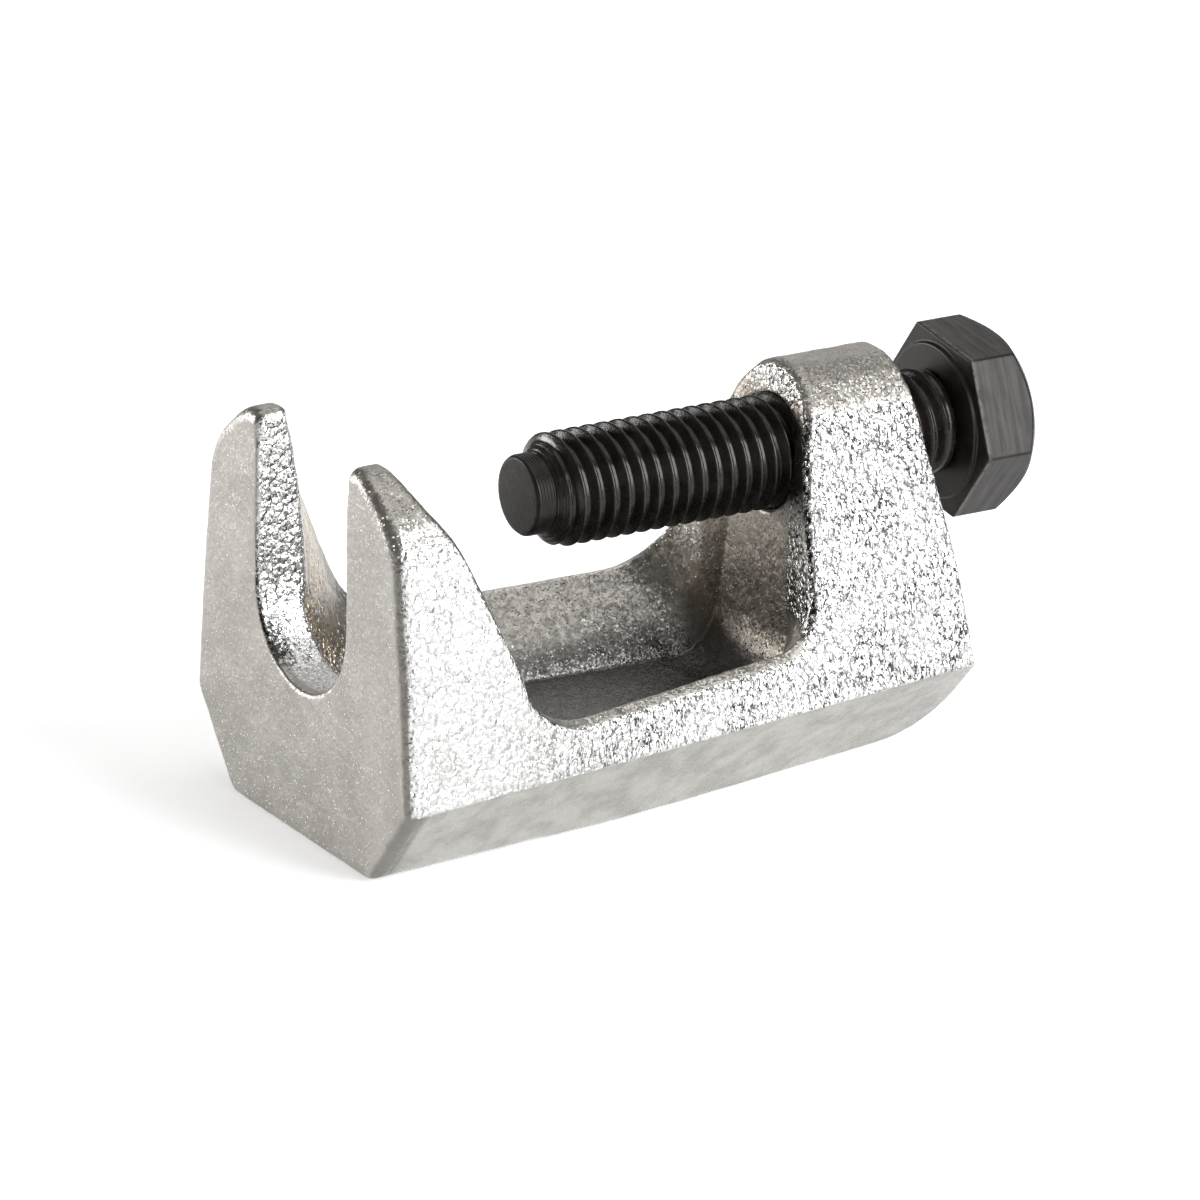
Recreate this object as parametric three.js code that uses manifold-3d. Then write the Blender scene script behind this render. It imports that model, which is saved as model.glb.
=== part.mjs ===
// Ball joint separator: one forged C-frame and one forcing screw with a dog point.
// Millimetres, +Z up. While shaping, X runs from the fork's front face to the screw head,
// Y = 0 is the plane of symmetry and Z = 0 the flat underside. The finished pieces are then
// moved along X so that the origin lies midway along the tool.
import * as THREE from 'three';
import Module from 'manifold-3d';

const manifoldTools = await Module();
manifoldTools.setup();

// ---- driving sizes ----
const BOLT_Z = 32.4;              // height of the screw's axis

// screw thread, M12 x 1.75
const PITCH = 1.75;
const CREST_R = 5.93;
const ROOT_R = 4.95;
const CREST_FLAT = 0.3;
const FLANK_SLOPE = Math.tan(Math.PI / 6);
const THREAD_STEPS = 32;          // facets in one turn
const CREST_AT_X = 29.68;         // a crest passes here ...
const CREST_AT_ANGLE = 2.783;     // ... at this angle from +Y toward +Z

// clearance of the tapped bore around the screw
const RADIAL_PLAY = 0.15;
const FLANK_PLAY = 0.15;

// screw lengths along X
const TIP_X = 25.2;
const DOG_R = 4.22;
const DOG_CHAMFER = 0.25;
const DOG_END_X = 27.4;
const THREAD_FULL_X = 28.9;
const THREAD_END_X = 72.6;
const NECK_R = 4.85;
const COLLAR_X = 73.6;            // the rounded collar between the neck and the head
const COLLAR_R = 5.55;
const WASHER_X = 75;
const WASHER_R = 8.2;
const HEX_X = 75.5;
const HEAD_END_X = 82.6;
const HEX_FLATS = 18;
const HEX_ANGLE = 1.18;           // angle of one hexagon corner
const ORIGIN_X = HEAD_END_X / 2;
const HEX_CHAMFER = Math.tan(Math.PI / 6);
const HEX_CHAMFER_START = 0.8;    // share of the corner radius left on the end face

// frame
const FRONT_X = 0;
const FRAME_TOP_Z = 42.6;         // fork tips
const BOSS_TOP_Z = 41.8;
const REAR_TOP_X = 68;          // boss rear face at the top ...
const REAR_LEAN = 0.1;            // ... and how far it leans out per mm down
const REAR_HEEL_R = 6.5;          // radius under the boss
const FRONT_HALF_WIDTH = 22.2;    // at the front, at the widest edge ...
const SIDE_TAPER = 0.088;         // ... less this much per mm along X
const EDGE_Z = 9;                 // height of the widest edge at the front ...
const EDGE_RISE = 0.026;          // ... and its rise per mm along X
const UNDER_CHAMFER = 7.5;        // width of the slope between the widest edge and the underside
const UNDER_TAPER = 0.085;        // the underside narrows faster ...
const UNDER_TAPER_X = 28;         // ... behind this place
const FORK_END_X = 14;            // the section changes from the fork's ...
const BOSS_START_X = 51;          // ... to the boss's between these
const EDGE = 0.8;                 // small chamfer along the frame's widest edge
const FRONT_EDGE = 0.3;           // and round its front face
const TIP_CORNER = 2.2;           // rounding of the slot's upper corners
const SLOT_R = 9;                 // 18 mm fork opening
const SLOT_CENTRE_Z = 25;
const SHOULDER_Z = 34;            // the flanks narrow quickly above this height
const FLOOR_Z = 8.6;              // floor of the trough
const FLOOR_SHARE = 0.42;         // flat share of the inner width
const RIM_SHARE = 0.92;           // beyond this share the rim is flat
const CAVITY_TOP_Z = 60;          // above everything, so that the hollow is open upward
const FORK_BACK_X = 3.6;          // thickness of the fork at its tips
const FORK_KNEE = [8.2, 35];      // [x, z] where the fork's back turns down, at the rims ...
const FORK_KNEE_MIDDLE = [4.8, 31]; // ... and at mid width
const RIM_FRONT = [16.8, 14.8];   // the rim's front end
const RIM_REAR = [51.6, 16.5];    // and its rear end, against the boss
const FLOOR_FRONT_X = 6.2;
const FLOOR_REAR_X = 53.4;
const BOSS_KNEE_Z = 30.5;         // the boss's inner face leans back above this height
const BOSS_KNEE_X = 52.9;
const BOSS_KNEE_MIDDLE_X = 54;
const BOSS_INNER_TOP = [56.2, 43];
const FRONT_FILLET = 4.2;         // radius where the fork's back meets the rim
const FLOOR_FILLET = 5.5;         // radius round the floor
const FILLET_LEFT = 6.5;          // where the rim rises to the boss, on the +Y side ...
const FILLET_RIGHT = 4;           // ... and on the -Y side
const BORE_MOUTH_X = 54.1;        // the boss's inner face at the screw's height
const BORE_MOUTH = 0.6;           // chamfer at the inner end of the tapped bore

// ---- small helpers ----
const mix = (a, b, t) => a + (b - a) * t;
const clamp01 = (t) => Math.min(1, Math.max(0, t));

/** A closed solid from a list of [x, y, z] points and triangles of indices. */
function meshGeometry(points, triangles) {
  const geometry = new THREE.BufferGeometry();
  geometry.setAttribute('position', new THREE.Float32BufferAttribute(points.flat(), 3));
  geometry.setIndex(triangles.flat());
  return geometry;
}

function toManifold(geometry) {
  const position = geometry.attributes.position;
  const count = position.count;
  const index = geometry.index ? geometry.index.array : Uint32Array.from({ length: count }, (_, i) => i);
  const mesh = new manifoldTools.Mesh({
    numProp: 3,
    vertProperties: new Float32Array(position.array),
    triVerts: new Uint32Array(index),
  });
  mesh.merge();
  const solid = new manifoldTools.Manifold(mesh);
  return solid.volume() < 0 ? flipped(geometry) : solid;
}

function flipped(geometry) {
  const index = Array.from(geometry.index.array);
  for (let i = 0; i < index.length; i += 3) {
    [index[i], index[i + 1]] = [index[i + 1], index[i]];
  }
  const turned = geometry.clone();
  turned.setIndex(index);
  return toManifold(turned);
}

function toGeometry(solid) {
  const mesh = solid.getMesh();
  const stride = mesh.numProp;
  const count = mesh.vertProperties.length / stride;
  const positions = new Float32Array(count * 3);
  for (let i = 0; i < count; i += 1) {
    for (let k = 0; k < 3; k += 1) positions[3 * i + k] = mesh.vertProperties[stride * i + k];
  }
  const geometry = new THREE.BufferGeometry();
  geometry.setAttribute('position', new THREE.BufferAttribute(positions, 3));
  geometry.setIndex(Array.from(mesh.triVerts));
  return geometry;
}

/** Joins equal rings of points into a closed tube with a fan on each end. */
function loft(rings) {
  const points = rings.flat();
  const n = rings[0].length;
  const triangles = [];
  for (let r = 0; r + 1 < rings.length; r += 1) {
    for (let i = 0; i < n; i += 1) {
      const j = (i + 1) % n;
      const [a, b, c, d] = [r * n + i, r * n + j, (r + 1) * n + j, (r + 1) * n + i];
      triangles.push([a, b, c], [a, c, d]);
    }
  }
  [0, rings.length - 1].forEach((r, end) => {
    const ring = rings[r];
    const centre = [0, 1, 2].map((k) => ring.reduce((sum, p) => sum + p[k], 0) / n);
    points.push(centre);
    const hub = points.length - 1;
    for (let i = 0; i < n; i += 1) {
      const [a, b] = [r * n + i, r * n + ((i + 1) % n)];
      triangles.push(end === 0 ? [hub, b, a] : [hub, a, b]);
    }
  });
  return toManifold(meshGeometry(points, triangles));
}

/** A path through corner points [a, b, radius], with an arc of equal steps at each corner. */
function roundedPath(corners, steps) {
  const path = [];
  corners.forEach(([a, b, radius], i) => {
    if (!radius) {
      path.push([a, b]);
      return;
    }
    const corner = new THREE.Vector2(a, b);
    const before = new THREE.Vector2(...corners[i - 1]).sub(corner).normalize();
    const after = new THREE.Vector2(...corners[i + 1]).sub(corner).normalize();
    const half = Math.acos(before.dot(after)) / 2;
    const reach = radius / Math.tan(half);
    const start = before.clone().multiplyScalar(reach).add(corner);
    const finish = after.clone().multiplyScalar(reach).add(corner);
    const inward = before.clone().add(after).normalize();
    const centre = inward.multiplyScalar(radius / Math.sin(half)).add(corner);
    const from = Math.atan2(start.y - centre.y, start.x - centre.x);
    let sweep = Math.atan2(finish.y - centre.y, finish.x - centre.x) - from;
    if (sweep > Math.PI) sweep -= 2 * Math.PI;
    if (sweep < -Math.PI) sweep += 2 * Math.PI;
    for (let k = 0; k <= steps; k += 1) {
      const angle = from + (sweep * k) / steps;
      path.push([centre.x + radius * Math.cos(angle), centre.y + radius * Math.sin(angle)]);
    }
  });
  return path;
}

/** Turns an outline of [x, radius] about the screw's axis. */
function turned(outline, segments) {
  const lathe = new THREE.LatheGeometry(
    outline.map(([x, r]) => new THREE.Vector2(r, x)),
    segments,
  );
  lathe.rotateZ(-Math.PI / 2);
  lathe.rotateX(CREST_AT_ANGLE);
  lathe.translate(0, 0, BOLT_Z);
  return toManifold(lathe);
}

/** Pushes an outline of [y, z] points along X from x0 to x1. */
function prismAlongX(outline, x0, x1) {
  return loft([x0, x1].map((x) => outline.map(([y, z]) => [x, y, z])));
}

/** Pushes an outline of [x, z] points across the frame's whole width. */
function prismAcross(outline, halfWidth) {
  return loft([-halfWidth, halfWidth].map((y) => outline.map(([x, z]) => [x, y, z])));
}

// ---- frame ----
/** Half widths [y, z] of the frame's outside at x, from the underside to the top. */
function halfSection(x) {
  const boss = clamp01((x - FORK_END_X) / (BOSS_START_X - FORK_END_X));
  const edgeZ = EDGE_Z + EDGE_RISE * x;
  const edgeY = FRONT_HALF_WIDTH - SIDE_TAPER * x;
  const underY = edgeY - UNDER_CHAMFER - UNDER_TAPER * Math.max(0, x - UNDER_TAPER_X);
  const fork = [[20.9, 24], [19.4, 35.6], [17.4, 38.6], [13.8, 41.5], [11.6, FRAME_TOP_Z]];
  const rear = [[13.2, 24], [9, 33.5], [7.2, 37.9], [4.2, 40.6], [1.8, BOSS_TOP_Z]];
  const upper = fork.map(([y, z], i) => [mix(y, rear[i][0], boss), mix(z, rear[i][1], boss)]);
  return [[underY, 0], [edgeY - EDGE, edgeZ - EDGE * 0.9], [edgeY, edgeZ + EDGE * 0.5], ...upper];
}

/** Half width of the outside at x and height z. */
function halfWidthAt(x, z) {
  const section = halfSection(x);
  for (let i = 1; i < section.length; i += 1) {
    const [y0, z0] = section[i - 1];
    const [y1, z1] = section[i];
    if (z <= z1) return mix(y0, y1, (z - z0) / (z1 - z0));
  }
  return section[section.length - 1][0];
}

function hullRing(x, inset) {
  const half = halfSection(x).map(([y, z]) => {
    const low = z < 1 ? inset : 0;
    const high = z > BOSS_TOP_Z - 0.5 ? inset : 0;
    return [y - inset, z + low - high];
  });
  const mirrored = half.map(([y, z]) => [-y, z]).reverse();
  return [...half, ...mirrored].map(([y, z]) => [x, y, z]);
}

function frameHull() {
  const rings = [hullRing(FRONT_X, FRONT_EDGE), hullRing(FRONT_X + FRONT_EDGE, 0)];
  [8, 14, 28, 40, 51, 60, 80].forEach((x) => rings.push(hullRing(x, 0)));
  return loft(rings);
}

/** Everything behind the boss's leaning rear face and outside the big heel radius. */
function rearCutter() {
  const rearAt = (z) => REAR_TOP_X + (FRAME_TOP_Z - z) * REAR_LEAN;
  const outline = roundedPath([
    [rearAt(48), 48],
    [rearAt(1.0), 1.0, REAR_HEEL_R],
    [52, -0.02],
    [52, -5],
    [95, -5],
    [95, 48],
  ], 8);
  return prismAcross(outline, 40);
}

/** Half of the hollow of the C: points [x, z] along the rim, and their partners at mid width. */
function cavityPaths(rimFillet) {
  const steps = 6;
  const outer = roundedPath([
    [FORK_BACK_X, CAVITY_TOP_Z],
    [FORK_BACK_X, FRAME_TOP_Z + 0.8],
    [...FORK_KNEE, 9],
    [...RIM_FRONT, FRONT_FILLET],
    [...RIM_REAR, rimFillet],
    [BOSS_KNEE_X, BOSS_KNEE_Z, 20],
    BOSS_INNER_TOP,
    [BOSS_INNER_TOP[0], CAVITY_TOP_Z],
  ], steps);
  const middle = roundedPath([
    [FORK_BACK_X, CAVITY_TOP_Z],
    [FORK_BACK_X, FRAME_TOP_Z + 0.8],
    [...FORK_KNEE_MIDDLE, 9],
    [FLOOR_FRONT_X, FLOOR_Z, FLOOR_FILLET],
    [FLOOR_REAR_X, FLOOR_Z, FLOOR_FILLET],
    [BOSS_KNEE_MIDDLE_X, BOSS_KNEE_Z, 20],
    BOSS_INNER_TOP,
    [BOSS_INNER_TOP[0], CAVITY_TOP_Z],
  ], steps);
  return { outer, middle };
}

function cavity() {
  const halves = { left: cavityPaths(FILLET_LEFT), right: cavityPaths(FILLET_RIGHT) };
  const shares = [0, 0.3, FLOOR_SHARE, 0.52, 0.64, 0.78, RIM_SHARE, 1];
  const slopeShare = (t) => {
    const s = clamp01((t - FLOOR_SHARE) / (RIM_SHARE - FLOOR_SHARE));
    return Math.pow(s, 0.8);
  };
  const column = (t, side, extra) => halves[side > 0 ? 'left' : 'right'].outer.map(([x1, z1], i) => {
    const [x0, z0] = halves.left.middle[i];
    const reach = halfWidthAt(x1, Math.min(z1, SHOULDER_Z));
    const s = slopeShare(t);
    return [mix(x0, x1, s), side * (t * reach + extra), mix(z0, z1, s)];
  });
  const right = shares.slice(1).reverse().map((t) => column(t, -1, 0));
  const left = shares.slice(1).map((t) => column(t, 1, 0));
  return loft([column(1, -1, 12), ...right, column(0, 1, 0), ...left, column(1, 1, 12)]);
}

/** The fork's slot: straight sides on a half-round bottom. */
function slot() {
  const corner = [
    [0, FRAME_TOP_Z - 5],
    [0.3, FRAME_TOP_Z - 2.4],
    [1, FRAME_TOP_Z - 0.9],
    [TIP_CORNER, FRAME_TOP_Z + 0.1],
    [TIP_CORNER, CAVITY_TOP_Z],
  ];
  const outline = corner.map(([y, z]) => [SLOT_R + y, z]);
  outline.push(...outline.map(([y, z]) => [-y, z]).reverse());
  const steps = 20;
  for (let k = 0; k <= steps; k += 1) {
    const angle = Math.PI + (Math.PI * k) / steps;
    outline.push([SLOT_R * Math.cos(angle), SLOT_CENTRE_Z + SLOT_R * Math.sin(angle)]);
  }
  return prismAlongX(outline, FRONT_X - 5, 20);
}

/**
 * A threaded rod: four helical lines of points to each turn, joined by flanks, crest and root,
 * from turn `first` to turn `last`, counted from the crest named at the top.
 */
function threadedRod(crestR, rootR, crestFlat, first, last) {
  const flank = (crestR - rootR) * FLANK_SLOPE;
  const lines = [
    [-crestFlat / 2 - flank, rootR],
    [-crestFlat / 2, crestR],
    [crestFlat / 2, crestR],
    [crestFlat / 2 + flank, rootR],
  ];
  const steps = Math.round((last - first) * THREAD_STEPS);
  const points = [];
  for (let i = 0; i <= steps; i += 1) {
    const turn = first + i / THREAD_STEPS;
    const angle = CREST_AT_ANGLE + 2 * Math.PI * turn;
    lines.forEach(([dx, r]) => {
      points.push([CREST_AT_X + PITCH * turn + dx, r * Math.cos(angle), BOLT_Z + r * Math.sin(angle)]);
    });
  }
  const at = (i, line) => 4 * i + line;
  const quad = (a, b, c, d) => [[a, b, c], [a, c, d]];
  const triangles = [];
  for (let i = 0; i < steps; i += 1) {
    for (let line = 0; line < 3; line += 1) {
      triangles.push(...quad(at(i, line), at(i, line + 1), at(i + 1, line + 1), at(i + 1, line)));
    }
    if (i + THREAD_STEPS < steps) {
      const j = i + THREAD_STEPS;
      triangles.push(...quad(at(i, 3), at(j, 0), at(j + 1, 0), at(i + 1, 3)));
    }
  }
  const fan = (loop, x, reverse) => {
    points.push([x, 0, BOLT_Z]);
    const hub = points.length - 1;
    loop.forEach((a, k) => {
      const b = loop[(k + 1) % loop.length];
      triangles.push(reverse ? [hub, b, a] : [hub, a, b]);
    });
  };
  const startLoop = [];
  for (let i = 0; i <= THREAD_STEPS; i += 1) startLoop.push(at(i, 0));
  for (let line = 3; line > 0; line -= 1) startLoop.push(at(0, line));
  const endLoop = [];
  for (let i = steps - THREAD_STEPS; i <= steps; i += 1) endLoop.push(at(i, 3));
  for (let line = 2; line >= 0; line -= 1) endLoop.push(at(steps, line));
  fan(startLoop, CREST_AT_X + PITCH * first, false);
  fan(endLoop, CREST_AT_X + PITCH * last, true);
  return toManifold(meshGeometry(points, triangles));
}

/** The tool that leaves the tapped bore: the thread with play all round. */
function boreCutter() {
  const crestR = CREST_R + RADIAL_PLAY;
  const rootR = ROOT_R + RADIAL_PLAY;
  const crestFlat = CREST_FLAT + 2 * FLANK_PLAY - 2 * RADIAL_PLAY * FLANK_SLOPE;
  const tap = threadedRod(crestR, rootR, crestFlat, 11, 26);
  const inner = turned([
    [BORE_MOUTH_X - 4, 0],
    [BORE_MOUTH_X - 4, crestR + 0.2],
    [BORE_MOUTH_X, crestR + 0.2],
    [BORE_MOUTH_X + BORE_MOUTH, rootR - 0.02],
    [BORE_MOUTH_X + BORE_MOUTH, 0],
  ], THREAD_STEPS);
  return tap.add(inner);
}

function cFrame() {
  return frameHull()
    .subtract(rearCutter())
    .subtract(cavity())
    .subtract(slot())
    .subtract(boreCutter());
}

// ---- screw ----
function screwDogPoint() {
  return turned([
    [TIP_X, 0],
    [TIP_X, DOG_R - DOG_CHAMFER],
    [TIP_X + DOG_CHAMFER, DOG_R],
    [DOG_END_X, DOG_R],
    [DOG_END_X, 0],
  ], THREAD_STEPS);
}

/** The outline the thread is trimmed to: a lead-in cone at the dog point, flush at the neck. */
function threadEnvelope() {
  const outer = CREST_R + 0.5;
  return turned([
    [DOG_END_X, 0],
    [DOG_END_X, DOG_R],
    [THREAD_FULL_X, CREST_R],
    [THREAD_FULL_X, outer],
    [THREAD_END_X, outer],
    [THREAD_END_X + 0.8, NECK_R],
    [THREAD_END_X + 0.8, 0],
  ], THREAD_STEPS);
}

function screwShank() {
  const rod = threadedRod(CREST_R, ROOT_R, CREST_FLAT, -3, 27);
  const core = turned([
    [DOG_END_X, 0],
    [DOG_END_X, DOG_R],
    [DOG_END_X + 0.7, ROOT_R - 0.03],
    [THREAD_END_X - 0.5, ROOT_R - 0.03],
    [THREAD_END_X, NECK_R],
    [COLLAR_X, NECK_R],
    [COLLAR_X + 0.3, COLLAR_R],
    [WASHER_X + 0.2, COLLAR_R],
    [WASHER_X + 0.2, 0],
  ], THREAD_STEPS);
  return rod.intersect(threadEnvelope()).add(core);
}

function hexHead() {
  const cornerR = HEX_FLATS / Math.sqrt(3);
  const outline = [];
  for (let k = 0; k < 6; k += 1) {
    const angle = HEX_ANGLE + (k * Math.PI) / 3;
    outline.push([cornerR * Math.cos(angle), BOLT_Z + cornerR * Math.sin(angle)]);
  }
  const endR = cornerR * HEX_CHAMFER_START;
  const chamferX = HEAD_END_X - (cornerR + 0.5 - endR) * HEX_CHAMFER;
  const trim = turned([
    [HEX_X - 1, 0],
    [HEX_X - 1, cornerR + 0.5],
    [chamferX, cornerR + 0.5],
    [HEAD_END_X, endR],
    [HEAD_END_X, 0],
  ], 48);
  const washer = turned([
    [WASHER_X, 0],
    [WASHER_X, WASHER_R - 0.2],
    [WASHER_X + 0.2, WASHER_R],
    [HEX_X + 0.3, WASHER_R],
    [HEX_X + 0.3, 0],
  ], 48);
  return prismAlongX(outline, HEX_X, HEAD_END_X).intersect(trim).add(washer);
}

function forcingScrew() {
  return screwShank().add(hexHead());
}

// ---- the named pieces ----
const pieces = [
  { name: 'c_frame', solid: cFrame(), colour: 0xb9b6ae },
  { name: 'forcing_screw', solid: forcingScrew(), colour: 0x2c2a2a },
  { name: 'screw_dog_point', solid: screwDogPoint(), colour: 0x343131 },
];

const assembly = new THREE.Group();
assembly.name = 'ball_joint_separator';
pieces.forEach(({ name, solid, colour }) => {
  const material = new THREE.MeshStandardMaterial({ name, color: colour, metalness: 0.8, roughness: 0.5 });
  const mesh = new THREE.Mesh(toGeometry(solid.translate([-ORIGIN_X, 0, 0])), material);
  mesh.name = name;
  assembly.add(mesh);
});

export default assembly;
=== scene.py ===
"""Visual model of the ball joint separator: a forged, zinc plated C-frame and its black forcing screw.

Shapes are worked out in millimetres, with X from the fork's front face to the screw head,
Y = 0 the plane of symmetry and Z = 0 the underside, and moved into the CAD frame at the end.
"""

import math
from types import SimpleNamespace

import bpy
import numpy as np
from mathutils import Matrix, Vector, noise


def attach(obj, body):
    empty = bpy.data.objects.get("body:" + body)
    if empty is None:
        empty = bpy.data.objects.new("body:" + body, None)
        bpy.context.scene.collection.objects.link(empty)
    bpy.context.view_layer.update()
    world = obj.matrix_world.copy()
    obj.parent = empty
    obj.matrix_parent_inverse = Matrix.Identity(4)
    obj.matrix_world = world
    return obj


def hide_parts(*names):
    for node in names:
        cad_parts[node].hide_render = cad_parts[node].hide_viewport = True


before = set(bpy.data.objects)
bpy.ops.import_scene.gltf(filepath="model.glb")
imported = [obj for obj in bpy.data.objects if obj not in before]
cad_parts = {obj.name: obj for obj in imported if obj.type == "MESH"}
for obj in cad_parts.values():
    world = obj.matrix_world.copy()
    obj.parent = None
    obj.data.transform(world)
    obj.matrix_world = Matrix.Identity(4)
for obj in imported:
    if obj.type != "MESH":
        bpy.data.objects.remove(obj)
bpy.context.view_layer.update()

# ---- driving sizes, in millimetres; nearly all of them are the CAD's ----
MM = 0.001
HEAD_END_X = 82.6
ORIGIN_X = HEAD_END_X / 2
BOLT_Z = 32.4               # height of the screw's axis

# thread, M12 x 1.75
PITCH = 1.75
CREST_R = 5.93
ROOT_R = 4.95
CREST_FLAT = 0.22
CREST_AT_X = 29.68          # a crest passes here ...
CREST_AT_ANGLE = 2.783      # ... at this angle round the axis
BORE_GAP = 0.12             # between the screw and the tapped bore
BORE_CREST_FLAT = 0.5
BORE_MOUTH_X = 54.3

# dog point, shank and head, from the tip back
TIP_X = 25.2
DOG_R = 4.22
DOG_END_X = 27.4
TIP_GAP = 0.03              # the dog point and the thread are separate pieces
THREAD_FULL_X = 28.9
WORN_FROM_X = 69.5          # the thread is rubbed round from here on
WORN_R = 5.3
WORN_WAVE = 0.5
THREAD_END_X = 72.6
NECK_R = 4.85
COLLAR_X = 74.15            # middle of the rounded collar
COLLAR_R = 5.55
COLLAR_HALF = 0.85
WASHER_X = 75.0
WASHER_R = 8.2
HEX_X = 75.5
HEX_FLATS = 18.0
HEX_ANGLE = 1.18
HEX_CHAMFER_SHARE = 0.79    # radius of the chamfered end over the corner radius
HEX_CHAMFER_SLOPE = 1.25

# the forging's outside
FRONT_HALF_WIDTH = 22.17
FRAME_TOP_Z = 42.6
BOSS_TOP_Z = 41.8
EDGE_HALF = 22.2            # half width at the edge above the lower chamfer ...
SIDE_TAPER = 0.088          # ... and how it narrows toward the boss
EDGE_Z = 9.3
EDGE_RISE = 0.026
UNDER_CHAMFER = 7.5
UNDER_TAPER = 0.085
UNDER_TAPER_X = 28
FORK_END_X = 14             # the section is the fork's up to here ...
BOSS_START_X = 51           # ... and the boss's from here on
FORK_SECTION = [(20.9, 24), (19.4, 35.6), (17.4, 38.6), (13.8, 41.5), (11.6, FRAME_TOP_Z)]
BOSS_SECTION = [(13.2, 24), (9.0, 33.5), (7.3, 37.8), (4.3, 40.7), (1.8, BOSS_TOP_Z)]
SECTION_BENDS = [0, 0.3, 0.1, 0.7, 0.4, 0.2]
TOP_BEND = 0.4
FRONT_EDGE_R = 1.0
REAR_TOP_X = 68.0
REAR_LEAN = 0.1
REAR_HEEL_R = 6.5

# the hollow and the slot
SLOT_R = 9.0
SLOT_CENTRE_Z = 25.0
SLOT_END_X = 22
SHOULDER_Z = 34.0
RIM_Z = 14.8
RIM_FRONT_X = 16.8
RIM_RISE = 0.049
RIM_TILT = 0.5
RIM_SHARE = 0.92            # the rim begins at this share of the half width
FLOOR_Z = 8.6
FLOOR_SHARE = 0.42          # the flat floor ends at this share of the half width
TROUGH_CURVE = 0.8
FRONT_FILLETS = (5.5, 4.2)  # at the floor and at the rims
BOSS_FILLET = 5.5
NEAR_RIM_FILLET = 4.0
FAR_RIM_FILLET = 6.5

# lines of the side view with a soft knee: knee height, x there, slope below, slope above, softness
FORK_BACK_MIDDLE = (31, 4.8, -0.0625, -0.097, 4)
FORK_BACK_OUTER = (35, 8.2, -0.43, -0.548, 5)
BOSS_FACE_MIDDLE = (30.5, 54.0, 0.027, 0.19, 6)
BOSS_FACE_OUTER = (30.5, 52.9, 0.093, 0.264, 6)

# relief of the forged skin: height, size of a lump, offset of its noise
SKIN = [(0.045, 3.4, 5), (0.03, 1.2, 9), (0.022, 0.66, 3)]
SKIN_DEPTH = 0.05
SMOOTH_ROUND_BOLT = (6.6, 7.6)  # distance from the screw's axis where the relief fades in


# ---- fields: negative inside the solid ----
def mix(a, b, t):
    return a + (b - a) * t


def ramp(low, high, value):
    return np.clip((value - low) / (high - low), 0, 1)


def smooth_ramp(low, high, value):
    t = ramp(low, high, value)
    return t * t * (3 - 2 * t)


def rounded_and(a, b, radius):
    """The space inside both fields, with the edge between them rounded."""
    u = np.maximum(a + radius, 0)
    v = np.maximum(b + radius, 0)
    return np.minimum(np.maximum(a, b), -radius) + np.sqrt(u * u + v * v)


def soft_and(a, b, width):
    """The space inside both fields, with a gentle bend where they meet at a shallow angle."""
    near = np.maximum(width - np.abs(a - b), 0) / width
    return np.maximum(a, b) + near * near * width / 4


def bend(z, corner, x_corner, slope_below, slope_above, width):
    """A line x(z) of two slopes that meets in a soft knee at height `corner`."""
    d = z - corner
    soft = 0.5 * (d + np.sqrt(d * d + width * width))
    return x_corner + slope_below * (d - soft) + slope_above * soft


def section_points(x):
    """Half section of the outside at x: [half width, height] pairs from the underside up."""
    boss = ramp(FORK_END_X, BOSS_START_X, x)
    edge_z = EDGE_Z + EDGE_RISE * x
    edge_y = EDGE_HALF - SIDE_TAPER * x
    under_y = edge_y - UNDER_CHAMFER - UNDER_TAPER * np.maximum(0, x - UNDER_TAPER_X)
    upper = [(mix(f[0], b[0], boss), mix(f[1], b[1], boss)) for f, b in zip(FORK_SECTION, BOSS_SECTION)]
    return [(under_y, 0 * x), (edge_y, edge_z), *upper]


def half_width(x, z):
    """Half width of the sloping side at x and height z, below the shoulders."""
    points = section_points(x)
    width = points[-1][0] + 0 * z
    for (y0, z0), (y1, z1) in reversed(list(zip(points[:-1], points[1:]))):
        width = np.where(z <= z1, mix(y0, y1, (z - z0) / (z1 - z0)), width)
    return width


def hull_field(x, y, z):
    """The forging's outside, before it is hollowed."""
    points = section_points(x)
    side = None
    for (y0, z0), (y1, z1), soft in zip(points[:-1], points[1:], SECTION_BENDS):
        length = np.sqrt((y1 - y0) ** 2 + (z1 - z0) ** 2)
        face = ((z1 - z0) * (np.abs(y) - y0) - (y1 - y0) * (z - z0)) / length
        side = face if side is None else soft_and(side, face, soft)
    top = z - points[-1][1]
    side = soft_and(side, top, TOP_BEND)
    lean = math.sqrt(1 + REAR_LEAN**2)
    rear = (x - REAR_TOP_X - (FRAME_TOP_Z - z) * REAR_LEAN) / lean
    ends = rounded_and(rear, -z, REAR_HEEL_R)
    ends = rounded_and(ends, -x, FRONT_EDGE_R)
    edge = mix(1.5, 0.5, ramp(20, 40, x))
    return rounded_and(ends, side, edge)


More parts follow.
